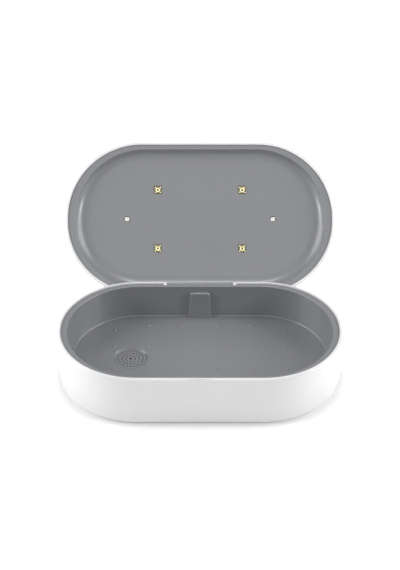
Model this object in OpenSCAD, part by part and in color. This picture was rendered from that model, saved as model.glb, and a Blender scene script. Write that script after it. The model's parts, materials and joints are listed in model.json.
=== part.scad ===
// Sanitizer box for phones: a hinged two-shell case with ultraviolet lamps in its lid.
// +X is the right side, +Y the hinge side, +Z up; the origin lies on the table under the base.
// Pieces of the lid are drawn closed and then swung open about the hinge.

/* [Case] */
// Width of the case, left to right
case_w = 228; // [200:1:260]
// Depth of the case, front to back
case_d = 130; // [122:1:140]
// How much tighter the two rear corners are rounded than the front ones
rear_tight = 2.3; // [1:0.1:3]
// Height of the base rim above the table
base_h = 46; // [44:0.5:60]
// Height of the lid
lid_h = 16; // [15.5:0.5:22]
// Thickness of the outer shells at the rim
wall = 2.4; // [2.2:0.1:2.8]
// Thickness of the base's bottom
bottom_t = 2.6; // [2.2:0.1:3.2]
// Thickness of the lid's top
lid_top_t = 2; // [1.8:0.1:2.6]
// Rounding of the outer edges of both rims
rim_round = 1.6; // [1.2:0.1:1.8]
// Rounding of the base's bottom edge
bottom_round = 4; // [2:0.5:6]
// Rounding of the lid's top edge
lid_round = 5; // [3:0.5:6]
// Gap between the closed rims
part_gap = 0.3; // [0.2:0.05:0.6]
// Width of the seats that carry the tray and the liner
seat_w = 1; // [0.8:0.1:1.2]
// Gap round pieces that drop into the shells
fit_gap = 0.15; // [0.1:0.05:0.3]

/* [Hinge] */
// How far the lid swings open
open_angle = 131; // [110:1:135]
// Hinge axis, inward from the rear face
hinge_in = 2.2; // [2.1:0.05:2.4]
// Hinge axis, below the base rim
hinge_down = 8.7; // [7:0.1:9.5]
// Width of the lid's hinge leaf
leaf_w = 54.9; // [46:0.1:60]
// Radius of the hinge barrel
barrel_r = 2.1; // [2:0.05:2.15]
// Radius of the hinge pins
pin_r = 1; // [0.8:0.05:1.1]
// Running gap of the pins in the barrel
pin_gap = 0.05; // [0.03:0.01:0.08]
// Gap between the leaf and the base
leaf_gap = 0.3; // [0.2:0.05:0.5]
// Width of the two lugs that show beside the leaf
lug_w = 2.5; // [2.2:0.1:4]
// How far the lugs lie below the rim
lug_drop = 1; // [0.6:0.1:1.5]
// Length of a lug block under the ledge
lug_block_w = 7; // [6:0.5:9]
// Half width of the gap in the barrel for the lid wire
wire_bay = 12.5; // [10:0.5:14]

/* [Chamber tray] */
// Height of the chamber floor above the table
deck_h = 16; // [16:0.5:20]
// Thickness of the tray's wall
tray_t = 1.6; // [1.4:0.1:1.8]
// Thickness of the chamber floor
deck_t = 2; // [1.8:0.1:2.4]
// How far the ledge lies below the base rim
ledge_drop = 1.2; // [1:0.1:1.6]
// Width of the ledge round the chamber
ledge_w = 3.3; // [3.2:0.1:4.2]
// How far the ends of the chamber, and of the hollow in the lid, are drawn in
end_in = 2.3; // [1.5:0.1:2.6]
// How far the chamber narrows from the ledge to the floor
chamber_draft = 2.3; // [1.5:0.1:3]
// Rounding of the ledge's inner edge
lip_round = 0.9; // [0.6:0.1:1.2]
// Rounding between the wall and the floor
deck_round = 1; // [0.5:0.5:3]
// Spacing of the floor's bumps, left to right
bump_dx = 28.2; // [26:0.2:32]
// Spacing of the floor's bumps, front to back
bump_dy = 29; // [26:0.5:30]
// How far the corner bumps are drawn in
bump_pull = 6.3; // [4:0.1:8]
// Radius of a bump's ball
bump_r = 1.2; // [1:0.1:1.3]
// How far a bump stands up
bump_h = 0.7; // [0.5:0.1:0.8]
// Width of the wire duct at the floor
duct_w = 18.3; // [17:0.1:21]
// Width of the wire duct at its top
duct_top_w = 16.7; // [16.2:0.1:19]
// How far the wire duct stands out of the wall
duct_t = 3; // [2.8:0.1:4]
// Height of the duct's top above the hinge axis
duct_rise = 2.3; // [1.5:0.1:3]
// Rounding of the duct's edges
duct_round = 1; // [0.6:0.1:1.2]

/* [Thumb notch] */
// Width of the scoop in the front rim
notch_w = 28; // [22:1:34]
// Depth of the scoop below the rim, at the front face
notch_h = 4.3; // [3:0.1:5]
// Depth of the scoop into the rim's thickness
notch_in = 1.35; // [0.8:0.05:1.6]

/* [Scent grille] */
// Radius of the round recess in the floor
recess_r = 14; // [12.5:0.5:14]
// Radius of the grille disc
grille_r = 12.75; // [11:0.25:12.75]
// Thickness of the grille disc
grille_t = 1.2; // [1:0.1:1.4]
// How far the grille lies below the floor
grille_drop = 0.8; // [0.5:0.1:1]
// Radius of a small grille hole
grille_hole_r = 0.55; // [0.4:0.05:0.6]
// Radius of the drip hole in the middle
drip_r = 1; // [0.8:0.1:1.4]
// Spacing of the rings of holes
ring_step = 3.1; // [2.9:0.05:3.3]
// Thickness of the felt pad
pad_t = 2.8; // [2:0.1:3]

/* [Lid liner] */
// Thickness of the lid liner
liner_t = 1.4; // [1.2:0.1:1.6]
// How far the liner's flange lies inside the lid's rim
flange_drop = 0.8; // [0.6:0.1:1.2]
// Width of the liner's flange
flange_w = 4.2; // [3.6:0.1:5]
// Depth of the lamp panel below the lid's rim
panel_drop = 6.5; // [6:0.1:7]
// Radius of the hollow between the flange and the panel
hollow_r = 13.5; // [11:0.5:15]
// Spacing of the ultraviolet lamps, left to right
lamp_dx = 71.6; // [60:0.2:90]
// Spacing of the ultraviolet lamps, front to back
lamp_dy = 50; // [40:0.2:52]
// Spacing of the two side lamps
side_dx = 123.8; // [110:0.2:126]
// Width of an ultraviolet lamp
lamp_w = 6; // [5:0.1:6.6]
// Width of a side lamp
side_w = 3.5; // [3:0.1:4]
// Gap between a lamp and its window's edge
window_gap = 0.65; // [0.4:0.05:0.8]
// How far the lamps lie behind the panel's face
lamp_drop = 0.5; // [0.4:0.1:0.6]

/* [Boards] */
// Thickness of both circuit boards
board_t = 1.6; // [1.2:0.1:1.6]
// Width of the lid's lamp board
lamp_board_w = 134; // [132:1:140]
// Depth of the lid's lamp board
lamp_board_d = 60; // [60:1:66]
// Gap between the lamp board and the liner
lamp_board_lift = 0.6; // [0.4:0.1:0.8]
// Width of the base's control board
main_w = 88; // [84:1:92]
// Depth of the base's control board
main_d = 36; // [34:1:38]
// Height of the control board above the bottom
main_lift = 2.6; // [2.2:0.1:2.8]

/* [Button] */
// Radius of the power button
button_r = 6; // [5:0.25:8]
// Travel of the power button
travel = 0.5; // [0.3:0.05:0.6]
// How far the button stands above the lid
button_proud = 0.4; // [0.2:0.1:0.6]
// Distance of the button in front of the lid's middle
button_y = 20; // [16:0.5:22]
// Gap round the button
button_gap = 0.15; // [0.1:0.05:0.3]

/* [Feet and screws] */
// How far the feet stand out of the bottom
foot_h = 1; // [0.8:0.1:1.2]
// Radius of a rubber foot
foot_r = 5.5; // [5:0.25:6.5]
// Depth of the pocket that holds a foot
foot_sink = 0.8; // [0.6:0.1:1]
// Spacing of the feet and case screws, left to right
foot_dx = 112; // [106:1:120]
// Spacing of the feet and case screws, front to back
foot_dy = 104; // [98:1:104]
// Radius of the case screws' thread
screw_r = 1.25; // [1:0.05:1.4]
// Radius of the case screws' heads
screw_head_r = 2.8; // [2.4:0.1:3]
// Height of the case screws' heads
screw_head_h = 1.8; // [1.4:0.1:2]

/* [Hidden] */

$fn = 96;
cut = 0.01;              // overlap of a cutting form past the face it cuts
reach = 12;              // length of a cutting form that runs out of the part

end_r = case_d / 2;
straight = case_w - case_d;
wall_r = end_r - wall;
seat_r = wall_r - seat_w;
drop_in_r = wall_r - fit_gap;

// Heights of the base
floor_top = foot_h + bottom_t;
ledge_z = base_h - ledge_drop;
tray_seat_z = ledge_z - tray_t;
deck_under = deck_h - deck_t;
main_z = floor_top + main_lift;
main_top = main_z + board_t;

// Outline of the chamber's wall, a line that leans out from the floor to the ledge
chamber_r = wall_r - ledge_w;
deck_r = chamber_r - chamber_draft;
lean = atan(chamber_draft / (ledge_z - lip_round - deck_h));

// Hinge
hinge_y = end_r - hinge_in;
hinge_z = base_h - hinge_down;
leaf_in = 1.6;           // the leaf's inner face, inward from the axis
leaf_slot = leaf_w / 2 + leaf_gap;
lug_in = 1.8;            // the lugs' inner face, inward from the axis
lug_foot = hinge_z - 4.5;
ledge_notch = leaf_slot + lug_w + 0.3;
notch_face = hinge_y - lug_in - 0.25;
barrel_room = barrel_r + leaf_gap + 0.25;
pin_from = wire_bay + 1;
pin_to = leaf_slot + lug_block_w - 0.6;

// Heights of the closed lid
lid_z = base_h + part_gap;
lid_top = lid_z + lid_h;
channel_top = lid_z + 7;
lid_ceiling = lid_top - lid_top_t;
flange_z = lid_z + flange_drop;
liner_seat_z = flange_z + liner_t;
panel_z = lid_z + panel_drop;
panel_back = panel_z + liner_t;
lamp_board_z = panel_back + lamp_board_lift;
lamp_board_top = lamp_board_z + board_t;
lamp_face = panel_z + lamp_drop;
flange_r = wall_r - flange_w;
hollow_z = panel_z - hollow_r;
panel_r = flange_r - sqrt(hollow_r * hollow_r - pow(flange_z - hollow_z, 2));
bead_r = 0.45;           // the fine bead along the flange's inner edge

// Lid wire, a sleeve that crosses the hinge along its axis
wire_r = 1.2;
wire_x = 5.6;
wire_slot = wire_r + 0.4;
channel_h = 9;

// Front boss with the magnet and the lid sensor
boss_r = 3.2;
boss_h = 16;
boss_y = -(chamber_r + 1);
pocket_r = 1.5;
pocket_y = -chamber_r;
magnet_h = 3;
magnet_top = ledge_z - 1.2;
sensor_top = magnet_top - magnet_h - 0.4;
sensor_h = 3;
sensor_low = sensor_top - sensor_h;

// Button and switch
switch_h = 1.6;
button_flange_r = button_r + 1.3;
button_flange_t = 0.8;
button_under = lid_ceiling - 0.1 - button_flange_t;
plunger_r = 1.2;
light_r = 1.2;
light_y = button_flange_r + light_r + 0.8 - button_y;

// Charging socket, on the control board and through the rear wall
socket_w = 8.94;
socket_h = 3.26;
socket_skin = 0.3;
socket_back = hinge_y - 5.6;
socket_mouth = end_r - 0.6;
socket_z = main_top + socket_h / 2;
main_back = seat_r - 0.8;
main_front = main_back - main_d;

grille_x = -2 * bump_dx;
first_ring = 3.9;        // radius of the grille's first ring of holes
grille_z = deck_h - grille_drop;
well_r = recess_r + 1;
pad_r = grille_r - 1.3;
pad_z = grille_z - grille_t - 0.6 - pad_t;

// Bosses and the corners of the screw patterns
case_boss_h = 2.2;
tray_boss_r = 3.6;
standoff_r = 2.6;
pilot_r = 0.8;
board_hole_r = 1.1;
main_screw_x = main_w / 2 - 4;
main_screws = [for (x = [-1, 1], y = [main_front + 4, main_back - 6]) [x * main_screw_x, y]];
lamp_screws = [for (x = [-1, 0, 1], y = [-1, 1]) [x * (lamp_board_w / 2 - 5), y * (lamp_board_d / 2 - 4)]];
case_screws_at = [for (x = [-1, 1], y = [-1, 1]) [x * foot_dx / 2, y * foot_dy / 2]];
lamps_at = [for (x = [-1, 1], y = [-1, 1]) [x * lamp_dx / 2, y * lamp_dy / 2]];
side_lamps_at = [for (x = [-1, 1]) [x * side_dx / 2, 0]];

white = "#f4f4f2";
grey = "#8b8d92";
gold = "#d9b75a";
steel = "#b8bcc2";

// Sweeps a half profile (x is the distance from the middle line, y the height) round the case's outline.
// The rear corners are tighter than the front ones; drawn_in moves both ends inward.
module oval_sweep(drawn_in = 0) {
    bend_x = straight / 2 - drawn_in;
    for (side = [0, 1])
        mirror([side, 0, 0]) {
            translate([bend_x, 0, 0])
                rotate([0, 0, -90])
                    rotate_extrude(angle = 90)
                        children();
            translate([bend_x, rear_tight, 0])
                rotate([90, 0, 0])
                    linear_extrude(rear_tight)
                        children();
            translate([bend_x + rear_tight, rear_tight, 0])
                rotate_extrude(angle = 90)
                    intersection() {
                        translate([-rear_tight, 0])
                            children();
                        square(case_d);
                    }
        }
    rotate([90, 0, 90])
        linear_extrude(2 * (bend_x + rear_tight), center = true)
            children();
    mirror([0, 1, 0])
        rotate([90, 0, 90])
            linear_extrude(2 * bend_x, center = true)
                children();
}

// The waste outside a rounded corner whose rounding has its middle at the origin
module corner_waste(r, sx, sy) {
    scale([sx, sy])
        difference() {
            square(r + 1);
            circle(r);
        }
}

// A rectangle with rounded corners, centred
module round_rect(w, d, r) {
    square([w - 2 * r, d], center = true);
    square([w, d - 2 * r], center = true);
    for (x = [-1, 1], y = [-1, 1])
        translate([x * (w / 2 - r), y * (d / 2 - r)])
            circle(r);
}

// A round wire along a list of points, with each corner eased into a bend
function unit(v) = v / norm(v);
function eased(p, bend) = [
    p[0],
    for (i = [1 : len(p) - 2])
        let (back = unit(p[i - 1] - p[i]),
             on = unit(p[i + 1] - p[i]),
             d = min(bend, 0.45 * norm(p[i - 1] - p[i]), 0.45 * norm(p[i + 1] - p[i])))
            for (t = [0 : 0.25 : 1])
                p[i] + pow(1 - t, 2) * d * back + t * t * d * on,
    p[len(p) - 1]];
function tangents(q) = [for (i = [0 : len(q) - 1]) unit(q[min(i + 1, len(q) - 1)] - q[max(i - 1, 0)])];
function carried(t, n, i = 0) = i == len(t) ? [] :
    let (m = unit(n - (n * t[i]) * t[i]))
        concat([m], carried(t, m, i + 1));

module wire(points, r) {
    sides = 10;
    path = eased(points, 4 * r);
    ahead = tangents(path);
    across = carried(ahead, [0.31, 0.83, 0.47]);
    last = len(path) - 1;
    polyhedron(
        [for (i = [0 : last], k = [0 : sides - 1])
            let (turn = 360 * k / sides)
                path[i] + r * (cos(turn) * across[i] + sin(turn) * cross(ahead[i], across[i]))],
        [[for (k = [0 : sides - 1]) k],
         [for (k = [sides - 1 : -1 : 0]) last * sides + k],
         for (i = [0 : last - 1], k = [0 : sides - 1])
             let (a = i * sides + k, b = i * sides + (k + 1) % sides)
                 each [[a, a + sides, b + sides], [a, b + sides, b]]]);
}

// Swings what is drawn on the closed lid to its open place
module lid_open() {
    translate([0, hinge_y, hinge_z])
        rotate([-open_angle, 0, 0])
            translate([0, -hinge_y, -hinge_z])
                children();
}

module at(points) {
    for (p = points)
        translate([p[0], p[1], 0])
            children();
}

// Base shell

module base_outline() {
    difference() {
        translate([0, foot_h])
            square([end_r, base_h - foot_h]);
        translate([end_r - bottom_round, foot_h + bottom_round])
            corner_waste(bottom_round, 1, -1);
        translate([end_r - rim_round, base_h - rim_round])
            corner_waste(rim_round, 1, 1);
        difference() {
            translate([0, floor_top])
                square([seat_r, base_h]);
            translate([seat_r - bottom_round / 2, floor_top + bottom_round / 2])
                corner_waste(bottom_round / 2, 1, -1);
        }
        translate([0, tray_seat_z])
            square([wall_r, base_h]);
    }
}

// The opening that the hinge leaf swings through; its sloping sill stops the open lid
module hinge_window() {
    translate([0, hinge_y, hinge_z])
        intersection() {
            rotate([-open_angle, 0, 0])
                translate([-leaf_slot, -2 * reach, -2 * reach])
                    cube([2 * leaf_slot, 2 * reach + hinge_in + leaf_gap, 4 * reach]);
            translate([-leaf_slot, -reach / 2, -reach])
                cube([2 * leaf_slot, reach, 2 * reach]);
        }
}

module hinge_lugs() {
    block_top = tray_seat_z - 0.2;
    for (side = [0, 1])
        mirror([side, 0, 0]) {
            translate([leaf_slot, hinge_y - lug_in, lug_foot])
                cube([lug_block_w, lug_in + hinge_in / 2, block_top - lug_foot]);
            translate([leaf_slot, hinge_y - lug_in, lug_foot])
                cube([lug_w, lug_in + hinge_in / 2, base_h - lug_drop - lug_foot]);
        }
}

module thumb_scoop() {
    // A ball whose edge crosses the front face notch_h below the rim and the rim's top notch_in behind it
    face_r = (pow(notch_w / 2, 2) + notch_h * notch_h) / (2 * notch_h);
    top_r = face_r - notch_h;
    away = (face_r * face_r - top_r * top_r - notch_in * notch_in) / (2 * notch_in);
    ball = sqrt(face_r * face_r + away * away);
    translate([0, -end_r - away, base_h + top_r])
        sphere(ball, $fn = 180);
}

module base_shell() color(white) {
    difference() {
        union() {
            difference() {
                oval_sweep() base_outline();
                hinge_window();
            }
            hinge_lugs();
            at(case_screws_at)
                translate([0, 0, floor_top - 1])
                    cylinder(h = case_boss_h + 1, r = foot_r + 0.6);
            at(main_screws)
                translate([0, 0, floor_top - 1])
                    cylinder(h = main_lift + 1, r = standoff_r);
        }
        // Rim cut down to the lugs
        translate([-ledge_notch + 0.2, hinge_y - reach / 2, base_h - lug_drop])
            cube([2 * ledge_notch - 0.4, reach, reach]);
        for (side = [0, 1])
            mirror([side, 0, 0])
                translate([leaf_slot - cut, hinge_y, hinge_z])
                    rotate([0, 90, 0])
                        cylinder(h = pin_to - leaf_slot + cut, r = pin_r);
        // Channel for the lid wire
        translate([-wire_x - wire_slot, hinge_y - reach / 2, hinge_z - channel_h])
            cube([2 * wire_slot, reach / 2 + wire_r + 0.3, channel_h]);
        thumb_scoop();
        // Slot for the charging socket
        translate([0, end_r + 1, socket_z])
            rotate([90, 0, 0])
                linear_extrude(wall + seat_w + 3)
                    round_rect(socket_w + 0.4, socket_h + 0.4, socket_h / 2);
        at(case_screws_at) {
            translate([0, 0, foot_h - 1])
                cylinder(h = foot_sink + 1, r = foot_r + fit_gap);
            cylinder(h = foot_h + foot_sink + screw_head_h, r = screw_head_r + 0.2);
            cylinder(h = reach, r = screw_r + 0.35);
        }
        at(main_screws)
            translate([0, 0, floor_top])
                cylinder(h = reach, r = pilot_r);
    }
}

// Chamber tray

// Half profile of the chamber's outside, below the ledge
module tray_body_outline() {
    polygon([[0, deck_under], [deck_r + tray_t - deck_t * tan(lean), deck_under],
             [chamber_r + tray_t, tray_seat_z], [chamber_r + tray_t, ledge_z], [0, ledge_z]]);
}

// Half profile of the chamber's hollow, with a rounded foot and a rounded lip
module chamber_outline() {
    round_x = deck_r + deck_round * tan(lean) - deck_round / cos(lean);
    lip_z = ledge_z - lip_round;
    difference() {
        polygon([[0, deck_h], [deck_r, deck_h], [chamber_r, lip_z],
                 [chamber_r, ledge_z + 1], [0, ledge_z + 1]]);
        difference() {
            polygon([[round_x, deck_h], [deck_r, deck_h],
                     [round_x + deck_round * cos(lean), deck_h + deck_round * (1 - sin(lean))]]);
            translate([round_x, deck_h + deck_round])
                circle(deck_round);
        }
    }
    difference() {
        translate([chamber_r - cut, lip_z])
            square([lip_round + cut, lip_round + 1]);
        translate([chamber_r + lip_round, lip_z])
            circle(lip_round);
    }
}

module tray_shell() {
    difference() {
        union() {
            oval_sweep()
                translate([0, tray_seat_z])
                    square([drop_in_r, tray_t]);
            oval_sweep(end_in) tray_body_outline();
        }
        oval_sweep(end_in) chamber_outline();
    }
}

// Face of the wire duct, seen from the front: a tapered plate with two rounded top corners
module duct_face(w_low, w_top, h, r) {
    polygon([[-w_low / 2, 0], [w_low / 2, 0], [w_top / 2, h - r], [w_top / 2 - r, h],
             [r - w_top / 2, h], [-w_top / 2, h - r]]);
    for (side = [-1, 1])
        translate([side * (w_top / 2 - r), h - r])
            circle(r);
}

module duct_form(inset, low, out) {
    h = hinge_z + duct_rise - deck_h - inset;
    translate([0, deck_r, deck_h])
        rotate([90 - lean, 0, 0])
            translate([0, -low, -out])
                linear_extrude(duct_t - inset + out)
                    duct_face(duct_w - 2 * inset, duct_top_w - 2 * inset, h + low, 2.5 - inset);
}

// What is cut away to round the duct's front edges
module duct_edge_waste() {
    corner = 2.5;
    h = hinge_z + duct_rise - deck_h;
    side_h = h - corner;
    side_turn = atan((duct_w - duct_top_w) / 2 / side_h);
    translate([0, deck_r, deck_h])
        rotate([90 - lean, 0, 0]) {
            translate([corner - duct_top_w / 2, h - duct_round, duct_t - duct_round])
                rotate([90, 0, 90])
                    linear_extrude(duct_top_w - 2 * corner)
                        corner_waste(duct_round, 1, 1);
            for (side = [0, 1])
                mirror([side, 0, 0]) {
                    translate([duct_top_w / 2 - corner, side_h, duct_t])
                        rotate_extrude(angle = 90)
                            translate([corner - duct_round, -duct_round])
                                corner_waste(duct_round, 1, 1);
                    translate([duct_top_w / 2, side_h, duct_t])
                        rotate([0, 0, side_turn])
                            translate([-duct_round, 0, -duct_round])
                                rotate([90, 0, 0])
                                    linear_extrude(h + deck_t)
                                        corner_waste(duct_round, 1, 1);
                }
        }
}

module bumps() {
    for (ix = [-2.5 : 2.5], iy = [-1.5 : 1.5]) {
        corner = abs(ix) > 2 && abs(iy) > 1;
        y = iy * bump_dy - (corner ? sign(iy) * bump_pull : 0);
        translate([ix * bump_dx, y, deck_h + bump_h - bump_r])
            sphere(bump_r, $fn = 24);
    }
}

// Boss on the front wall for the magnet, with a rounded top and a pointed foot
module front_boss() {
    top_round = 0.7;
    intersection() {
        translate([0, boss_y, 0])
            rotate_extrude()
                difference() {
                    polygon([[0, ledge_z - boss_h], [0.5, ledge_z - boss_h], [boss_r, ledge_z - boss_h + 6],
                             [boss_r, ledge_z], [0, ledge_z]]);
                    translate([boss_r - top_round, ledge_z - top_round])
                        corner_waste(top_round, 1, 1);
                }
        translate([-boss_r - 1, -chamber_r - tray_t + 0.4, 0])
            cube([2 * boss_r + 2, 2 * boss_r, base_h]);
    }
}

module chamber_tray() color(grey) {
    difference() {
        union() {
            tray_shell();
            bumps();
            difference() {
                duct_form(0, deck_t / 2, 0.8);
                duct_edge_waste();
            }
            front_boss();
            at(case_screws_at)
                translate([0, 0, floor_top + case_boss_h])
                    cylinder(h = deck_under - floor_top - case_boss_h + deck_t / 4, r = tray_boss_r);
            translate([grille_x, 0, pad_z - 1.2])
                cylinder(h = deck_h - 0.5 - pad_z + 1.2, r = well_r);
        }
        duct_form(1.3, deck_t + 1.5, 6);
        // Room for the hinge barrel, and a notch in the ledge for the leaf and the lugs
        translate([-leaf_slot - lug_w / 2, hinge_y, hinge_z])
            rotate([0, 90, 0])
                cylinder(h = 2 * leaf_slot + lug_w, r = barrel_room);
        translate([-ledge_notch, notch_face, hinge_z])
            cube([2 * ledge_notch, reach, reach]);
        // Magnet pocket, and the sensor's way out behind the wall
        translate([0, pocket_y, sensor_low - 0.2])
            cylinder(h = magnet_top - sensor_low + 0.2, r = pocket_r, $fn = 48);
        translate([-0.9, pocket_y - 4, ledge_z - boss_h - 1])
            cube([1.8, 4, sensor_top - ledge_z + boss_h + 1]);
        at(case_screws_at)
            cylinder(h = deck_under - 0.8, r = screw_r);
        // Dished recess, grille seat and pad cup
        translate([grille_x, 0, 0]) {
            translate([0, 0, grille_z])
                cylinder(h = grille_drop + cut, r1 = grille_r + fit_gap, r2 = recess_r);
            translate([0, 0, grille_z - grille_t])
                cylinder(h = grille_t + cut, r = grille_r + fit_gap);
            translate([0, 0, pad_z])
                cylinder(h = grille_z - pad_z, r = pad_r + fit_gap);
        }
    }
}

module scent_grille() color(grey) {
    translate([grille_x, 0, grille_z - grille_t])
        difference() {
            cylinder(h = grille_t, r = grille_r);
            translate([0, 0, -1])
                cylinder(h = grille_t + 2, r = drip_r, $fn = 24);
            for (ring = [1 : 3]) {
                count = 8 * ring + 2;
                for (i = [0 : count - 1])
                    rotate([0, 0, 90 + 360 * i / count])
                        translate([first_ring + (ring - 1) * ring_step, 0, -1])
                            cylinder(h = grille_t + 2, r = grille_hole_r, $fn = 16);
            }
        }
}

module scent_pad() color("#45464a") {
    translate([grille_x, 0, pad_z])
        cylinder(h = pad_t, r = pad_r);
}

// Feet and case screws

module rubber_feet() color("#3a3b3d") {
    at(case_screws_at)
        rotate_extrude()
            difference() {
                square([foot_r, foot_h + foot_sink]);
                translate([foot_r - 0.4, 0.4])
                    corner_waste(0.4, 1, -1);
            }
}

module case_screws() color(steel) {
    head_z = foot_h + foot_sink;
    at(case_screws_at)
        difference() {
            union() {
                translate([0, 0, head_z])
                    cylinder(h = screw_head_h, r = screw_head_r);
                translate([0, 0, head_z])
                    cylinder(h = deck_under - 1.5 - head_z, r = screw_r);
            }
            cross_recess(head_z, 2.4, 0.9);
        }
}

module cross_recess(z, w, deep) {
    for (turn = [0, 90])
        rotate([0, 0, turn])
            translate([-w / 2, -0.3, z - 1])
                cube([w, 0.6, deep + 1]);
}

// Small board screw with its head on top; length is the thread below the head
module small_screw(z, length) {
    difference() {
        union() {
            translate([0, 0, z])
                cylinder(h = 1, r = 1.7, $fn = 32);
            translate([0, 0, z - length])
                cylinder(h = length + 0.5, r = pilot_r, $fn = 32);
        }
        for (turn = [0, 90])
            rotate([0, 0, turn])
                translate([-1, -0.2, z + 0.5])
                    cube([2, 0.4, 1]);
    }
}

// Control board and what stands on it

module control_board() color("#2f6b4a") {
    difference() {
        translate([0, (main_front + main_back) / 2, main_z])
            linear_extrude(board_t)
                round_rect(main_w, main_d, 2);
        at(main_screws)
            translate([0, 0, main_z - 1])
                cylinder(h = board_t + 2, r = board_hole_r);
    }
}

// Places a part on the control board; u is in widths from its middle line, v in depths from its front edge
module on_board(u, v) {
    translate([u * main_w, main_front + v * main_d, main_top])
        children();
}

module chip(w, d, h, pins) {
    translate([-w / 2, -d / 2, 0.15])
        cube([w, d, h]);
    for (i = [0 : pins - 1], side = [-1, 1])
        translate([(i - (pins - 1) / 2) * w / pins - 0.2, side * d / 2 - 0.5, 0])
            cube([0.4, 1, 0.4]);
}

module control_chips() color("#26282b") {
    on_board(-0.25, 0.39) chip(7, 6, 1.4, 6);
    on_board(0.09, 0.33) chip(5, 4, 1.3, 4);
    on_board(0.27, 0.61) chip(4, 3.2, 1.2, 3);
    // Power coil
    on_board(0.17, 0.69)
        translate([0, 0, 1.5])
            cube([6, 6, 3], center = true);
}

module capacitors() color("#4a5a78") {
    for (v = [0.28, 0.53])
        on_board(-0.385, v)
            cylinder(h = 5, r = 2.5);
}

module buzzer() color("#26282b") {
    on_board(0.37, 0.33)
        difference() {
            cylinder(h = 4.4, r = 5.5);
            translate([0, 0, 3.4])
                cylinder(h = 2, r = 1);
        }
}

module board_screws() color(steel) {
    at(main_screws)
        small_screw(main_top, board_t + main_lift - 0.6);
}

module charging_socket() color(steel) {
    translate([0, socket_mouth, socket_z])
        rotate([90, 0, 0])
            linear_extrude(socket_mouth - socket_back)
                difference() {
                    round_rect(socket_w, socket_h, socket_h / 2 - 0.01);
                    round_rect(socket_w - 2 * socket_skin, socket_h - 2 * socket_skin,
                               socket_h / 2 - socket_skin - 0.01);
                }
}

module socket_tongue() color("#26282b") {
    translate([0, socket_back + 2, socket_z])
        rotate([90, 0, 0])
            linear_extrude(2)
                round_rect(socket_w - 2 * socket_skin, socket_h - 2 * socket_skin,
                           socket_h / 2 - socket_skin - 0.01);
    translate([-3.35, socket_back + 1, socket_z - 0.35])
        cube([6.7, 4.5, 0.7]);
}

// Lid wire: a plug on the control board, a sleeve up the duct, and the lid's half from the hinge axis on

module wire_plug() color("#e9e6dc") {
    translate([-wire_x - 4, main_back - 20, main_top])
        cube([8, 5, 5]);
}

module wire_lower() color("#d7d9dc") {
    duct_y = chamber_r - 0.2;
    plug_z = main_top + 3.2;
    wire([[-wire_x, main_back - 15, plug_z], [-wire_x, duct_y - 4.5, plug_z],
          [-wire_x, duct_y, plug_z + 4.5], [-wire_x, duct_y, hinge_z - 5.2],
          [-wire_x, hinge_y, hinge_z], [-0.05, hinge_y, hinge_z]], wire_r);
}

module wire_upper() color("#d7d9dc") {
    over_z = lamp_board_top + wire_r;
    lid_open()
        wire([[0.05, hinge_y, hinge_z], [wire_x, hinge_y, hinge_z], [wire_x, hinge_y, lid_z + 4.7],
              [wire_x, hinge_y - 4.3, lid_z + 7.2], [wire_x, panel_r, over_z],
              [wire_x, lamp_board_d / 2 - 3, over_z]], wire_r);
}

module hinge_pins() color(steel) {
    for (side = [0, 1])
        mirror([side, 0, 0])
            translate([pin_from, hinge_y, hinge_z])
                rotate([0, 90, 0])
                    cylinder(h = pin_to - pin_from, r = pin_r);
}

module base_magnet() color(steel) {
    translate([0, pocket_y, magnet_top - magnet_h])
        cylinder(h = magnet_h, r = pocket_r, $fn = 48);
}

module lid_sensor() color("#26282b") {
    translate([-1.2, pocket_y - 0.6, sensor_low])
        cube([2.4, 1.2, sensor_top - sensor_low]);
}

module sensor_wire() color("#d7d9dc") {
    r = 0.5;
    back_y = -(seat_r - 0.9);
    low = floor_top + 1.6;
    wire([[0, pocket_y - r, sensor_low], [0, pocket_y - r, sensor_low - 0.6],
          [0, back_y, sensor_low - 2.6], [0, back_y, low + 4], [0, back_y + 8, low],
          [0, main_front - 7, low], [0, main_front - 2, main_top + 1.2 * r],
          [0, main_front + 3, main_top + 1.2 * r]], r);
}

// Lid shell

module lid_outline() {
    difference() {
        translate([0, lid_z])
            square([end_r, lid_h]);
        translate([end_r - lid_round, lid_top - lid_round])
            corner_waste(lid_round, 1, 1);
        translate([end_r - rim_round, lid_z + rim_round])
            corner_waste(rim_round, 1, -1);
        difference() {
            translate([0, lid_z - 1])
                square([seat_r, lid_ceiling - lid_z + 1]);
            translate([seat_r - 3, lid_ceiling - 3])
                corner_waste(3, 1, 1);
        }
        translate([0, lid_z - 1])
            square([wall_r, liner_seat_z - lid_z + 1]);
    }
}

// Small catches that hold the liner in the lid
module catches(extra) {
    size = [8 + 2 * extra, 1 + extra, 1 + 2 * extra];
    z = flange_z + 0.2 - extra;
    for (x = [-38, 38], side = [0, 1])
        mirror([0, side, 0])
            translate([x - size[0] / 2, drop_in_r - 0.5, z])
                cube(size);
}

module hinge_leaf() {
    translate([-leaf_w / 2, hinge_y - leaf_in, hinge_z])
        cube([leaf_w, leaf_in + hinge_in, liner_seat_z + 1 - hinge_z]);
    translate([-leaf_w / 2, hinge_y, hinge_z])
        rotate([0, 90, 0])
            cylinder(h = leaf_w, r = barrel_r);
}

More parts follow.
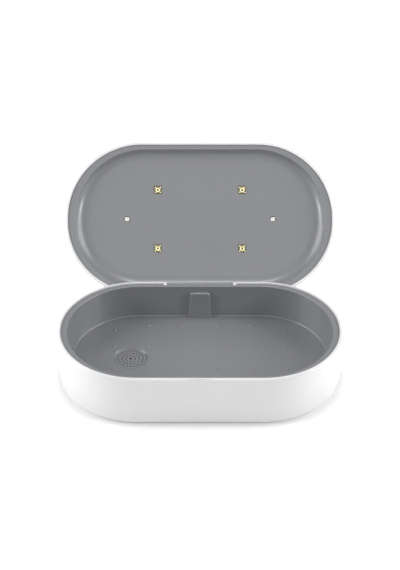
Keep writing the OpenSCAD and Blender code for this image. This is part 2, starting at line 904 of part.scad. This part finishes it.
module lid_shell() color(white) lid_open() {
    difference() {
        union() {
            oval_sweep() lid_outline();
            hinge_leaf();
        }
        translate([-leaf_w / 2 - 1, hinge_y, hinge_z])
            rotate([0, 90, 0])
                cylinder(h = leaf_w + 2, r = pin_r + pin_gap);
        // Bay in the barrel, and a channel in the leaf, for the lid wire
        translate([-wire_bay, hinge_y - reach / 2, hinge_z - reach])
            cube([2 * wire_bay, reach, reach + barrel_r + 0.2]);
        translate([wire_x - wire_slot, hinge_y - reach / 2, hinge_z])
            cube([2 * wire_slot, reach / 2 + wire_r + 0.2, channel_top - hinge_z]);
        catches(fit_gap);
        // Holes for the button and the status light
        translate([0, -button_y, lid_ceiling - 1])
            cylinder(h = reach, r = button_r + button_gap);
        translate([0, light_y, lid_ceiling - 1])
            cylinder(h = reach, r = light_r + 0.05);
    }
}

// Lid liner

// Half profile of the liner's shell over the hollow, with a fine bead along the flange's inner edge
module liner_body_outline() {
    intersection() {
        translate([0, flange_z])
            square([drop_in_r, reach]);
        union() {
            translate([panel_r, hollow_z])
                circle(hollow_r + liner_t);
            translate([0, hollow_z])
                square([panel_r, hollow_r + liner_t]);
        }
    }
    translate([flange_r + bead_r, flange_z + bead_r / 3])
        circle(bead_r, $fn = 24);
}

// Half profile of the hollow
module hollow_outline() {
    translate([panel_r, hollow_z])
        circle(hollow_r);
    translate([0, hollow_z])
        square([panel_r, hollow_r]);
}

module liner_shell() {
    difference() {
        union() {
            oval_sweep()
                translate([0, flange_z])
                    square([drop_in_r, liner_t]);
            oval_sweep(end_in) liner_body_outline();
        }
        oval_sweep(end_in) hollow_outline();
    }
}

module windows(points, w) {
    for (p = points)
        translate([p[0], p[1], panel_z - 1])
            linear_extrude(liner_t + 2)
                round_rect(w + 2 * window_gap, w + 2 * window_gap, 1);
}

module lid_liner() color(grey) lid_open() {
    difference() {
        union() {
            liner_shell();
            catches(0);
            at(lamp_screws)
                translate([0, 0, panel_back - 0.5])
                    cylinder(h = lamp_board_lift + 0.5, r = standoff_r);
        }
        windows(lamps_at, lamp_w);
        windows(side_lamps_at, side_w);
        // Notch for the hinge leaf
        translate([-leaf_slot, hinge_y - leaf_in - fit_gap, flange_z - 1])
            cube([2 * leaf_slot, reach, reach]);
        at(lamp_screws)
            translate([0, 0, panel_z + 0.5])
                cylinder(h = reach, r = pilot_r);
    }
}

// Lamp board and lamps

module lamp_board() color("#e6e6e0") lid_open() {
    difference() {
        translate([0, 0, lamp_board_z])
            linear_extrude(board_t)
                round_rect(lamp_board_w, lamp_board_d, 5);
        at(lamp_screws)
            translate([0, 0, lamp_board_z - 1])
                cylinder(h = board_t + 2, r = board_hole_r);
    }
}

module lamp_drivers() color("#26282b") lid_open() {
    for (side = [-1, 1])
        translate([side * 0.22 * lamp_board_w, 0.1 * lamp_board_d, lamp_board_top])
            chip(4.6, 3.8, 1.1, 4);
    // Status lamp under the light pipe
    translate([-0.8, light_y - 0.5, lamp_board_top])
        cube([1.6, 1, 0.6]);
}

module uvc_lamp_bodies() color("#6d6a45") lid_open() {
    at(lamps_at)
        difference() {
            translate([0, 0, lamp_face])
                linear_extrude(lamp_board_z - lamp_face)
                    round_rect(lamp_w, lamp_w, 0.5);
            translate([0, 0, lamp_face - 1])
                cylinder(h = 1.6, r = lamp_w * 0.16);
        }
}

// Gilt frame on each lamp: a ring round the emitter and a pad at each corner
module uvc_lamp_frames() color(gold) lid_open() {
    at(lamps_at)
        translate([0, 0, lamp_face - 0.15])
            linear_extrude(0.15)
                difference() {
                    union() {
                        circle(lamp_w * 0.36);
                        for (turn = [45, 135])
                            rotate(turn)
                                square([lamp_w * 1.12, lamp_w * 0.16], center = true);
                    }
                    circle(lamp_w * 0.16);
                }
}

module uvc_lamp_chips() color("#3d3a20") lid_open() {
    at(lamps_at)
        translate([-0.5, -0.5, lamp_face + 0.3])
            cube([1, 1, 0.3]);
}

module side_lamps() color("#fbfbf6") lid_open() {
    at(side_lamps_at)
        translate([0, 0, lamp_face - 0.2])
            linear_extrude(lamp_board_z - lamp_face + 0.2)
                round_rect(side_w, side_w, 0.3);
}

module lamp_board_screws() color(steel) lid_open() {
    at(lamp_screws)
        small_screw(lamp_board_top, lamp_board_top - panel_z - 0.7);
}

module lid_magnet() color(steel) lid_open() {
    translate([-5, -seat_r + 0.2, liner_seat_z])
        cube([10, 1.6, 2.8]);
}

// Power button and its switch

module switch_body() color("#26282b") lid_open() {
    translate([0, -button_y, lamp_board_top])
        difference() {
            translate([-3, -3, 0])
                cube([6, 6, switch_h]);
            translate([0, 0, 0.2])
                cylinder(h = switch_h, r = plunger_r + 0.07, $fn = 48);
        }
}

module switch_plunger() color("#d7d9dc") lid_open() {
    low = lamp_board_top + 0.3 + travel;
    translate([0, -button_y, low])
        cylinder(h = button_under - low, r = plunger_r, $fn = 48);
}

module power_button() color(white) lid_open() {
    translate([0, -button_y, 0])
        rotate_extrude()
            difference() {
                union() {
                    translate([0, button_under])
                        square([button_flange_r, button_flange_t]);
                    translate([0, button_under])
                        square([button_r, lid_top + button_proud - button_under]);
                }
                translate([button_r - 0.5, lid_top + button_proud - 0.5])
                    corner_waste(0.5, 1, 1);
            }
}

module status_light() color("#dfe9ee") lid_open() {
    low = lamp_board_top + 0.9;
    translate([0, light_y, low])
        cylinder(h = lid_top + 0.1 - low, r = light_r, $fn = 32);
}

base_shell();
chamber_tray();
scent_grille();
scent_pad();
rubber_feet();
case_screws();
control_board();
control_chips();
capacitors();
buzzer();
board_screws();
charging_socket();
socket_tongue();
wire_plug();
wire_lower();
hinge_pins();
base_magnet();
lid_sensor();
sensor_wire();
lid_shell();
lid_liner();
lamp_board();
lamp_drivers();
uvc_lamp_bodies();
uvc_lamp_frames();
uvc_lamp_chips();
side_lamps();
lamp_board_screws();
lid_magnet();
wire_upper();
switch_body();
status_light();
power_button();
switch_plunger();
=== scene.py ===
# Sanitizer box for phones: the dressed model, standing open on a white floor.
# The pieces' lengths are millimetres in the frame of the closed part; meshes, camera, floor and
# lamps are in metres.

import json
import math

import bmesh
import bpy
from mathutils import Matrix, Vector


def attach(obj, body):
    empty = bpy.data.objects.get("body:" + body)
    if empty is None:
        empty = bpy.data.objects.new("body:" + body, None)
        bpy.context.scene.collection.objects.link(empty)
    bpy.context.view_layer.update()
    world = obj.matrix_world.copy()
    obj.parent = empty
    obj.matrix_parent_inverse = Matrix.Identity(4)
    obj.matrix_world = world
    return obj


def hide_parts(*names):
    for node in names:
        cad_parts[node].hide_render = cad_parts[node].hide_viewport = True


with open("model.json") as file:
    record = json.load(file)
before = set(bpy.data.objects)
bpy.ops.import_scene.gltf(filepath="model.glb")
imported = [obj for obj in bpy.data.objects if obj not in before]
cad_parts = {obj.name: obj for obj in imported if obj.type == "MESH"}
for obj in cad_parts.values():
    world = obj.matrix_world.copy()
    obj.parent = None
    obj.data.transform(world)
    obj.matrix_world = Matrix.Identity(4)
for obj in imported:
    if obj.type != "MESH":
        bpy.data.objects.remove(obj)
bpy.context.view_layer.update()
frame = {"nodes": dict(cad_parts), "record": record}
NODES = frame["nodes"]

MM = 0.001
HINGE_Y, HINGE_Z = 62.8, 37.3
OPEN_DEG = 131

# From the closed lid, in millimetres, to the open one, in metres
AXIS = Matrix.Translation((0, HINGE_Y, HINGE_Z))
SWING = Matrix.Rotation(math.radians(-OPEN_DEG), 4, "X")
LID = Matrix.Scale(MM, 4) @ AXIS @ SWING @ AXIS.inverted()
BASE = Matrix.Scale(MM, 4)

# Camera
TILT_DEG = 38.23
DISTANCE = 1.1935
AIM = Vector((0, 0, 0.020))
FOCAL_PX = 1473.5
FRAME_H_PX = 570
SENSOR = 36
SHIFT_DOWN_PX = 68.95


def make_camera():
    tilt = math.radians(TILT_DEG)
    data = bpy.data.cameras.new("camera")
    camera = bpy.data.objects.new("camera", data)
    bpy.context.scene.collection.objects.link(camera)
    camera.location = AIM + DISTANCE * Vector((0, -math.cos(tilt), math.sin(tilt)))
    camera.rotation_euler = (math.pi / 2 - tilt, 0, 0)
    data.sensor_width = SENSOR
    data.lens = FOCAL_PX * SENSOR / FRAME_H_PX
    data.shift_y = SHIFT_DOWN_PX / FRAME_H_PX
    data.clip_start = 0.05
    bpy.context.scene.camera = camera


# Materials


# Most of a noise's values lie between these
NOISE_MIDDLE = (0.3, 0.7)


class Nodes:
    """A material's node tree, new or made before, with short calls for the nodes used here."""

    def __init__(self, name, made=None):
        self.mat = made or bpy.data.materials.new(name)
        self.mat.use_nodes = True
        self.tree = self.mat.node_tree
        self.shader = self.tree.nodes["Principled BSDF"]
        self.coords = self.tree.nodes.new("ShaderNodeTexCoord").outputs["Object"]

    def add(self, kind, **values):
        node = self.tree.nodes.new(kind)
        for key, value in values.items():
            if hasattr(node, key):
                setattr(node, key, value)
            else:
                node.inputs[key.replace("_", " ")].default_value = value
        return node

    def link(self, a, b):
        self.tree.links.new(a, b)

    def noise(self, scale, detail=2.0):
        node = self.add("ShaderNodeTexNoise", Scale=scale, Detail=detail)
        self.link(self.coords, node.inputs["Vector"])
        return node.outputs["Fac"]

    def spread(self, source, low, high):
        """Maps the middle of a noise's range onto low to high."""
        first, last = NOISE_MIDDLE
        node = self.add("ShaderNodeMapRange", From_Min=first, From_Max=last, To_Min=low, To_Max=high)
        self.link(source, node.inputs["Value"])
        return node.outputs["Result"]

    def calc(self, operation, *values):
        """A Math node on sockets or plain numbers."""
        node = self.add("ShaderNodeMath", operation=operation)
        for i, value in enumerate(values):
            if isinstance(value, (int, float)):
                node.inputs[i].default_value = value
            else:
                self.link(value, node.inputs[i])
        return node.outputs[0]

    def tint(self, source, dark, light):
        node = self.add("ShaderNodeMix", data_type="RGBA")
        node.inputs[6].default_value = (*dark, 1)
        node.inputs[7].default_value = (*light, 1)
        self.link(source, node.inputs["Factor"])
        self.link(node.outputs[2], self.shader.inputs["Base Color"])

    def bump(self, source, height, normal=None):
        node = self.add("ShaderNodeBump", Strength=1.0, Distance=height)
        self.link(source, node.inputs["Height"])
        if normal is not None:
            self.link(normal, node.inputs["Normal"])
        self.link(node.outputs["Normal"], self.shader.inputs["Normal"])
        return node.outputs["Normal"]


def srgb(*levels):
    """Linear colour from the 0 to 255 levels that it shows on a screen."""
    return tuple((v / 255 / 12.92) if v < 10 else ((v / 255 + 0.055) / 1.055) ** 2.4 for v in levels)


def scaled(colour, k):
    return tuple(min(1.0, c * k) for c in colour)


def plastic(name, colour, rough, grain=0.0, grain_scale=3000, mottle=0.02, coat=0.0, coat_rough=0.1):
    """Moulded plastic: faint mottling, uneven sheen and, if asked, a fine spark-eroded grain."""
    n = Nodes(name)
    broad = n.noise(18, 3)
    n.tint(n.spread(broad, 0, 1), scaled(colour, 1 - mottle), scaled(colour, 1 + mottle))
    fine = n.noise(grain_scale, 3)
    n.link(n.spread(fine, rough - 0.04, rough + 0.04), n.shader.inputs["Roughness"])
    n.shader.inputs["IOR"].default_value = 1.48
    n.shader.inputs["Coat Weight"].default_value = coat
    n.shader.inputs["Coat Roughness"].default_value = coat_rough
    waves = n.bump(n.noise(60, 2), 0.00002)
    if grain:
        n.bump(fine, grain, waves)
    return n.mat


def metal(name, colour, rough, grain_scale=900):
    n = Nodes(name)
    n.shader.inputs["Metallic"].default_value = 1.0
    stretch = n.add("ShaderNodeMapping")
    stretch.inputs["Scale"].default_value = (1, 1, 0.08)
    n.link(n.coords, stretch.inputs["Vector"])
    fine = n.add("ShaderNodeTexNoise", Scale=grain_scale, Detail=3.0)
    n.link(stretch.outputs["Vector"], fine.inputs["Vector"])
    n.tint(n.spread(fine.outputs["Fac"], 0, 1), scaled(colour, 0.94), scaled(colour, 1.04))
    n.link(n.spread(fine.outputs["Fac"], rough - 0.06, rough + 0.08), n.shader.inputs["Roughness"])
    n.bump(fine.outputs["Fac"], 0.000004)
    return n.mat


def rubber(name, colour):
    n = Nodes(name)
    fine = n.noise(2200, 4)
    n.tint(n.spread(fine, 0, 1), scaled(colour, 0.8), scaled(colour, 1.3))
    n.link(n.spread(fine, 0.72, 0.9), n.shader.inputs["Roughness"])
    n.bump(fine, 0.00004)
    return n.mat


def felt(name, colour):
    """Pressed fibres: two stretched noises across each other."""
    n = Nodes(name)
    fibres = []
    for turn in (0.5, 2.1):
        stretch = n.add("ShaderNodeMapping")
        stretch.inputs["Scale"].default_value = (1, 0.12, 1)
        stretch.inputs["Rotation"].default_value = (0, 0, turn)
        n.link(n.coords, stretch.inputs["Vector"])
        noise = n.add("ShaderNodeTexNoise", Scale=3500.0, Detail=3.0)
        n.link(stretch.outputs["Vector"], noise.inputs["Vector"])
        fibres.append(noise.outputs["Fac"])
    both = n.calc("MAXIMUM", *fibres)
    n.tint(n.spread(both, 0, 1), scaled(colour, 0.75), scaled(colour, 1.1))
    n.shader.inputs["Roughness"].default_value = 0.95
    n.shader.inputs["Sheen Weight"].default_value = 0.05
    n.bump(both, 0.0002)
    return n.mat


def board(name, colour, weave_scale=700):
    """Circuit board: lacquer over a faint glass weave."""
    n = Nodes(name)
    weave = n.add("ShaderNodeTexChecker", Scale=weave_scale)
    n.link(n.coords, weave.inputs["Vector"])
    n.tint(weave.outputs["Fac"], scaled(colour, 0.96), scaled(colour, 1.04))
    n.link(n.spread(n.noise(400), 0.28, 0.4), n.shader.inputs["Roughness"])
    n.shader.inputs["Coat Weight"].default_value = 0.4
    n.bump(n.noise(900), 0.000006)
    return n.mat


def clear(name, colour, rough=0.08):
    n = Nodes(name)
    n.tint(n.spread(n.noise(200), 0, 1), scaled(colour, 0.97), colour)
    n.link(n.spread(n.noise(300), rough, rough + 0.06), n.shader.inputs["Roughness"])
    n.shader.inputs["Transmission Weight"].default_value = 0.85
    n.shader.inputs["IOR"].default_value = 1.46
    return n.mat


# Grey faces this near to the grille's middle, this low and with a normal this flat are the walls of its
# holes;
# the shade painted on them is a share of the grey
GRILLE_X = -56.4
HOLES_WITHIN = 12.4
HOLES_BELOW = 14.9
FLAT_NORMAL_Z = 0.6
PAINTED_HOLE_SHADE = 0.05


def paint_hole_shade(mat):
    """Paints shade into the grey on the walls of the grille's fine holes, which are too deep for light
    to reach.
    """
    n = Nodes(mat.name, mat)
    away = n.add("ShaderNodeVectorMath", operation="SUBTRACT")
    n.link(n.coords, away.inputs[0])
    away.inputs[1].default_value = (GRILLE_X * MM, 0, 0)
    place = n.add("ShaderNodeSeparateXYZ")
    n.link(away.outputs["Vector"], place.inputs[0])
    squares = [n.calc("MULTIPLY", place.outputs[k], place.outputs[k]) for k in ("X", "Y")]
    inside = n.calc("LESS_THAN", n.calc("ADD", *squares), (HOLES_WITHIN * MM) ** 2)
    facing = n.add("ShaderNodeSeparateXYZ")
    n.link(n.add("ShaderNodeNewGeometry").outputs["True Normal"], facing.inputs[0])
    upright = n.calc("LESS_THAN", n.calc("ABSOLUTE", facing.outputs["Z"]), FLAT_NORMAL_Z)
    low = n.calc("LESS_THAN", place.outputs["Z"], HOLES_BELOW * MM)
    # Mask of the hole walls, where shade is painted into the grey
    wall = n.calc("MULTIPLY", n.calc("MULTIPLY", inside, upright), low)
    socket = n.shader.inputs["Base Color"]
    plain = socket.links[0].from_socket
    mix = n.add("ShaderNodeMix", data_type="RGBA")
    mix.inputs[7].default_value = (*scaled(GREY, PAINTED_HOLE_SHADE), 1)
    n.link(wall, mix.inputs["Factor"])
    n.link(plain, mix.inputs[6])
    n.link(mix.outputs[2], socket)
    return mat


WHITE = srgb(243, 243, 244)
GREY = srgb(130, 131, 135)

MATERIALS = {
    "white_shell": plastic("white_shell", WHITE, 0.36, grain=0.000002, mottle=0.004, coat=0.3),
    # The grey, with shade painted on the walls of the grille's holes
    "grey_inner": paint_hole_shade(
        plastic("grey_inner", GREY, 0.38, grain=0.000004, mottle=0.012, coat=0.5, coat_rough=0.2)
    ),
    "foot_rubber": rubber("foot_rubber", srgb(52, 52, 54)),
    "steel": metal("steel", srgb(196, 198, 202), 0.3),
    "green_board": board("green_board", srgb(30, 92, 60)),
    "white_board": board("white_board", srgb(228, 228, 222)),
    "black_part": plastic("black_part", srgb(34, 35, 38), 0.5, grain=0.000008),
    "capacitor_can": metal("capacitor_can", srgb(170, 176, 184), 0.28),
    "lamp_body": plastic("lamp_body", srgb(136, 126, 84), 0.4, grain=0.000004, mottle=0.05),
    "gilt": metal("gilt", srgb(250, 240, 196), 0.42),
    "lamp_cream": plastic("lamp_cream", srgb(250, 250, 244), 0.3, coat=0.5),
    "light_pipe": clear("light_pipe", srgb(236, 244, 248)),
    "wire_sleeve": plastic("wire_sleeve", srgb(196, 198, 202), 0.5, grain=0.00001),
    "felt": felt("felt", srgb(22, 22, 24)),
}


def dress_nodes():
    slots = {part["node"]: part["material_slot"] for part in frame["record"]["subparts"]}
    for name, obj in NODES.items():
        obj.data.materials.clear()
        obj.data.materials.append(MATERIALS[slots[name]])


# Pieces in mesh code


class Shape:
    """Rings and faces gathered into one mesh; lengths are millimetres of the closed part."""

    def __init__(self):
        self.points = []
        self.faces = []

    def ring(self, points):
        start = len(self.points)
        self.points += points
        return list(range(start, len(self.points)))

    def bridge(self, a, b):
        n = len(a)
        for i in range(n):
            j = (i + 1) % n
            self.faces.append((a[i], a[j], b[j], b[i]))

    def skin(self, rings):
        """Closes a stack of rings into a solid."""
        made = [self.ring(r) for r in rings]
        for a, b in zip(made, made[1:]):
            self.bridge(a, b)
        self.faces.append(tuple(reversed(made[0])))
        self.faces.append(tuple(made[-1]))

    def loop(self, rings):
        """Closes a stack of rings into a tube that ends where it starts."""
        made = [self.ring(r) for r in rings]
        for a, b in zip(made, made[1:] + made[:1]):
            self.bridge(a, b)

    def piece(self, name, slot, body, replaced=(), place=BASE, sharp_deg=38):
        mesh = bpy.data.meshes.new(name)
        mesh.from_pydata([tuple(place @ Vector(p)) for p in self.points], [], self.faces)
        work = bmesh.new()
        work.from_mesh(mesh)
        bmesh.ops.recalc_face_normals(work, faces=work.faces)
        work.to_mesh(mesh)
        work.free()
        mesh.shade_smooth()
        mesh.set_sharp_from_angle(angle=math.radians(sharp_deg))
        mesh.materials.append(MATERIALS[slot])
        obj = bpy.data.objects.new(name, mesh)
        bpy.context.scene.collection.objects.link(obj)
        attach(obj, body)
        if replaced:
            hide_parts(*replaced)
        return obj


def around(r, z, centre=(0, 0), steps=64):
    """A circle; r may be a function of the angle."""
    out = []
    for i in range(steps):
        a = 2 * math.pi * i / steps
        length = r(a) if callable(r) else r
        out.append((centre[0] + length * math.cos(a), centre[1] + length * math.sin(a), z))
    return out


def square_reach(half, corner):
    """Distance from the middle of a square with rounded corners to its edge, by angle."""

    def reach(angle):
        c, s = abs(math.cos(angle)), abs(math.sin(angle))
        big, small = max(c, s), min(c, s)
        if half * small / big <= half - corner:
            return half / big
        inner = half - corner
        along = inner * (c + s)
        return along + math.sqrt(along * along - 2 * inner * inner + corner * corner)

    return reach


# Front and back of the lamps in the closed lid, and where they stand
LAMP_FACE = 53.3
LAMP_BACK = 54.8
LAMPS_AT = [(x * 35.8, y * 25) for x in (-1, 1) for y in (-1, 1)]
SIDE_LAMPS_AT = [(-61.9, 0), (61.9, 0)]
# Half the width of an ultraviolet lamp, of its die and of a side lamp
LAMP_HALF = 3
DIE_HALF = 0.5
SIDE_HALF = 1.75
# Distance of the corner dots from the lamp's middle, along each side
DOT_REACH = 2.05


def make_uv_lamps():
    """Ceramic block with a round well, a raised gilt ring, gilt corner dots and the die in the well."""
    blocks, rings, dies = Shape(), Shape(), Shape()
    for at in LAMPS_AT:
        blocks.skin([
            around(square_reach(LAMP_HALF, 0.5), LAMP_BACK, at),
            around(square_reach(LAMP_HALF, 0.5), LAMP_FACE + 0.2, at),
            around(square_reach(LAMP_HALF - 0.06, 0.46), LAMP_FACE + 0.06, at),
            around(square_reach(LAMP_HALF - 0.2, 0.4), LAMP_FACE, at),
            around(0.96, LAMP_FACE, at),
            around(0.8, LAMP_FACE + 0.6, at),
        ])
        rings.loop([
            around(1.8, LAMP_FACE, at),
            around(1.8, LAMP_FACE - 0.09, at),
            around(1.7, LAMP_FACE - 0.15, at),
            around(1.25, LAMP_FACE - 0.15, at),
            around(1.1, LAMP_FACE - 0.08, at),
            around(0.9, LAMP_FACE + 0.25, at),
            around(1.15, LAMP_FACE, at),
        ])
        for dx in (-DOT_REACH, DOT_REACH):
            for dy in (-DOT_REACH, DOT_REACH):
                dot = (at[0] + dx, at[1] + dy)
                rings.skin([
                    around(0.45, LAMP_FACE, dot, 24),
                    around(0.45, LAMP_FACE - 0.07, dot, 24),
                    around(0.36, LAMP_FACE - 0.13, dot, 24),
                    around(0.2, LAMP_FACE - 0.15, dot, 24),
                ])
        dies.skin([
            around(square_reach(DIE_HALF, 0.05), LAMP_FACE + 0.6, at, 32),
            around(square_reach(DIE_HALF, 0.05), LAMP_FACE + 0.12, at, 32),
            around(square_reach(DIE_HALF - 0.06, 0.05), LAMP_FACE + 0.08, at, 32),
        ])
    blocks.piece("uv_lamp_blocks", "lamp_body", "lid", ["uvc_lamp_bodies"], LID)
    rings.piece("uv_lamp_rings", "gilt", "lid", ["uvc_lamp_frames"], LID)
    dies.piece("uv_lamp_dies", "lamp_body", "lid", ["uvc_lamp_chips"], LID)


def make_side_lamps():
    """Small white package: a chamfered frame round a dished, slightly domed lens."""
    shape = Shape()
    low = LAMP_FACE - 0.2
    for at in SIDE_LAMPS_AT:
        shape.skin([
            around(square_reach(SIDE_HALF, 0.3), LAMP_BACK, at),
            around(square_reach(SIDE_HALF, 0.3), low + 0.25, at),
            around(square_reach(SIDE_HALF - 0.05, 0.28), low + 0.08, at),
            around(square_reach(SIDE_HALF - 0.15, 0.24), low, at),
            around(1.38, low, at),
            around(1.3, low + 0.12, at),
            around(1.0, low + 0.08, at),
            around(0.6, low + 0.03, at),
            around(0.25, low + 0.01, at),
        ])
    shape.piece("side_lamp_packages", "lamp_cream", "lid", ["side_lamps"], LID)


def make_button():
    """Round cap with a shallow dish for the fingertip and a flange that holds it in the lid."""
    at = (0, -20)
    top, under = 62.7, 59.4
    dish_r, dish_deep = 5.1, 0.28
    dish = []
    for r in (dish_r, 4.6, 4, 3.3, 2.5, 1.6, 0.8, 0.3):
        dish.append((r, top - 0.02 - dish_deep * (1 - (r / dish_r) ** 2)))
    rim = [(6, top - 0.5), (5.96, top - 0.3), (5.85, top - 0.14), (5.68, top - 0.03)]
    rim += [(5.5, top), (5.3, top)]
    low = [(7.3, under), (7.3, under + 0.7), (7.2, under + 0.8), (6, under + 0.8)]
    shape = Shape()
    shape.skin([around(r, z, at, 96) for r, z in low + rim + dish])
    shape.piece("power_button_cap", "white_shell", "button", ["power_button"], LID)


FOOT_X, FOOT_Y = 56, 52


def make_feet():
    """Rubber feet with rounded edges and a shallow dish inside a flat standing ring."""
    shape = Shape()
    profile = [(5.5, 1.8), (5.5, 0.4), (5.38, 0.14), (5.1, 0)]
    profile += [(3.4, 0), (3.2, 0.1), (2.9, 0.22), (0.4, 0.25)]
    for x in (-FOOT_X, FOOT_X):
        for y in (-FOOT_Y, FOOT_Y):
            shape.skin([around(r, z, (x, y), 72) for r, z in profile])
    shape.piece("feet_rounded", "foot_rubber", "base", ["rubber_feet"])


def make_socket_contacts():
    """Twelve gilt contacts on either side of the socket's tongue."""
    shape = Shape()
    per_side, pitch, half_wide = 12, 0.5, 0.14
    tongue_z, tongue_half = 9.43, 0.35
    outline = [(59.2, 0.0), (62.3, 0.0), (62.3, 0.03), (59.2, 0.05)]
    for i in range(per_side):
        x = (i - (per_side - 1) / 2) * pitch
        for side in (-1, 1):
            z = tongue_z + side * tongue_half
            shape.skin([
                [(edge, y, z + side * lift) for y, lift in outline]
                for edge in (x - half_wide, x + half_wide)
            ])
    shape.piece("socket_contacts", "gilt", "base")


def make_scent_felt():
    """Pressed felt disc under the grille, a little crowned, with a softly uneven face."""
    shape = Shape()
    at = (GRILLE_X, 0)
    top, under, r = 13.4, 10.6, 11.45
    crown_deep, ripple_deep = 0.35, 0.08
    steps = 64

    def height(radius, angle):
        ripple = math.sin(3 * angle + radius) * math.cos(2.3 * radius + 5 * angle)
        return top - crown_deep * (radius / r) ** 2 + ripple_deep * ripple

    rows = [around(r * 0.97, under, at), around(r, under + 0.4, at), around(r, top - 0.9, at)]
    for share in (0.985, 0.95, 0.85, 0.7, 0.55, 0.4, 0.25, 0.1):
        row = []
        for i, (x, y, _) in enumerate(around(r * share, 0, at, steps)):
            row.append((x, y, height(r * share, 2 * math.pi * i / steps)))
        rows.append(row)
    shape.skin(rows)
    felt_disc = shape.piece("scent_felt", "felt", "base", ["scent_pad"])


# Stage


def seen(nodes, links):
    """1 for rays that show a surface as a picture: from the camera, a reflection or glass."""
    path = nodes.new("ShaderNodeLightPath")
    either = None
    for kind in ("Is Camera Ray", "Is Glossy Ray", "Is Transmission Ray"):
        if either is None:
            either = path.outputs[kind]
            continue
        larger = nodes.new("ShaderNodeMath")
        larger.operation = "MAXIMUM"
        links.new(either, larger.inputs[0])
        links.new(path.outputs[kind], larger.inputs[1])
        either = larger.outputs[0]
    return either


# Strength of the even light from all round, and of the white that the camera sees beyond the floor
WORLD = 0.0
BACKDROP = 1.0
# Strength of the floor's glow for the camera, beside the base and further out, and the distance
# in metres over which it rises
FLOOR_GLOW = (0.12, 1.0)
GLOW_REACH = 0.032
# Half the straight part of the base's outline, and the radius of its ends, in metres
OVAL_STRAIGHT = 0.049
OVAL_END = 0.065
FLOOR_SHADE = 0.9
FLOOR_HALF = 3


def make_world():
    world = bpy.data.worlds.new("world")
    bpy.context.scene.world = world
    world.use_nodes = True
    tree = world.node_tree
    even = tree.nodes["Background"]
    even.inputs["Color"].default_value = (1, 1, 1, 1)
    even.inputs["Strength"].default_value = WORLD
    backdrop = tree.nodes.new("ShaderNodeBackground")
    backdrop.inputs["Color"].default_value = (1, 1, 1, 1)
    backdrop.inputs["Strength"].default_value = BACKDROP
    mix = tree.nodes.new("ShaderNodeMixShader")
    tree.links.new(seen(tree.nodes, tree.links), mix.inputs[0])
    tree.links.new(even.outputs[0], mix.inputs[1])
    tree.links.new(backdrop.outputs[0], mix.inputs[2])
    tree.links.new(mix.outputs[0], tree.nodes["World Output"].inputs[0])


def glow_by_distance(n):
    """Low beside the base, where the contact shadow lies, and rising away from it."""
    split = n.add("ShaderNodeSeparateXYZ")
    n.link(n.coords, split.inputs[0])
    along = n.calc("ABSOLUTE", split.outputs["X"])
    beyond = n.calc("MAXIMUM", n.calc("SUBTRACT", along, OVAL_STRAIGHT), 0)
    square_x = n.calc("MULTIPLY", beyond, beyond)
    square_y = n.calc("MULTIPLY", split.outputs["Y"], split.outputs["Y"])
    away = n.calc("SQRT", n.calc("ADD", square_x, square_y))
    near, far = FLOOR_GLOW
    rise = n.add("ShaderNodeMapRange", From_Min=OVAL_END, From_Max=OVAL_END + GLOW_REACH,
                 To_Min=near, To_Max=far)
    n.link(away, rise.inputs["Value"])
    return rise.outputs["Result"]


def make_floor():
    mesh = bpy.data.meshes.new("floor")
    corners = [(-1, -1), (1, -1), (1, 1), (-1, 1)]
    mesh.from_pydata([(x * FLOOR_HALF, y * FLOOR_HALF, 0) for x, y in corners], [], [(0, 1, 2, 3)])
    floor = bpy.data.objects.new("floor", mesh)
    bpy.context.scene.collection.objects.link(floor)
    n = Nodes("floor")
    n.shader.inputs["Base Color"].default_value = (FLOOR_SHADE, FLOOR_SHADE, FLOOR_SHADE, 1)
    n.shader.inputs["Roughness"].default_value = 0.9
    n.shader.inputs["Specular IOR Level"].default_value = 0.0
    dark = n.add("ShaderNodeEmission", Strength=0.0)
    glow = n.add("ShaderNodeEmission", Strength=1.0)
    n.link(glow_by_distance(n), glow.inputs["Strength"])
    pick = n.add("ShaderNodeMixShader")
    total = n.add("ShaderNodeAddShader")
    n.link(seen(n.tree.nodes, n.tree.links), pick.inputs[0])
    n.link(dark.outputs[0], pick.inputs[1])
    n.link(glow.outputs[0], pick.inputs[2])
    n.link(n.shader.outputs[0], total.inputs[0])
    n.link(pick.outputs[0], total.inputs[1])
    n.link(total.outputs[0], n.tree.nodes["Material Output"].inputs[0])
    mesh.materials.append(n.mat)


# Name, place and size in metres, and power in watts; all lamps are square and aim at one point
LAMP_AIM = Vector((0, 0.04, 0.05))
LAMPS = [
    ("front", (0, -0.9, 0.9), 0.8, 2.0),
    ("front_low", (0, -1.4, 0.35), 0.8, 1.2),
    ("top", (0, 0.25, 1.0), 0.25, 1.6),
    ("left", (-1.2, 0.15, 0.8), 0.8, 9.2),
    ("right", (1.2, 0.15, 0.8), 0.8, 9.2),
    ("low_left", (-1.25, -0.4, 0.5), 0.35, 6.0),
    ("low_right", (1.25, -0.4, 0.5), 0.35, 6.0),
]


def make_lamps():
    for name, place, size, power in LAMPS:
        data = bpy.data.lights.new(name, "AREA")
        data.shape = "SQUARE"
        data.size = size
        data.energy = power
        lamp = bpy.data.objects.new(name, data)
        lamp.location = place
        lamp.rotation_euler = (LAMP_AIM - Vector(place)).to_track_quat("-Z", "Y").to_euler()
        lamp.visible_camera = False
        bpy.context.scene.collection.objects.link(lamp)


bpy.context.scene.view_settings.view_transform = "Standard"
make_camera()
make_world()
make_floor()
make_lamps()
dress_nodes()
make_uv_lamps()
make_side_lamps()
make_button()
make_feet()
make_socket_contacts()
make_scent_felt()
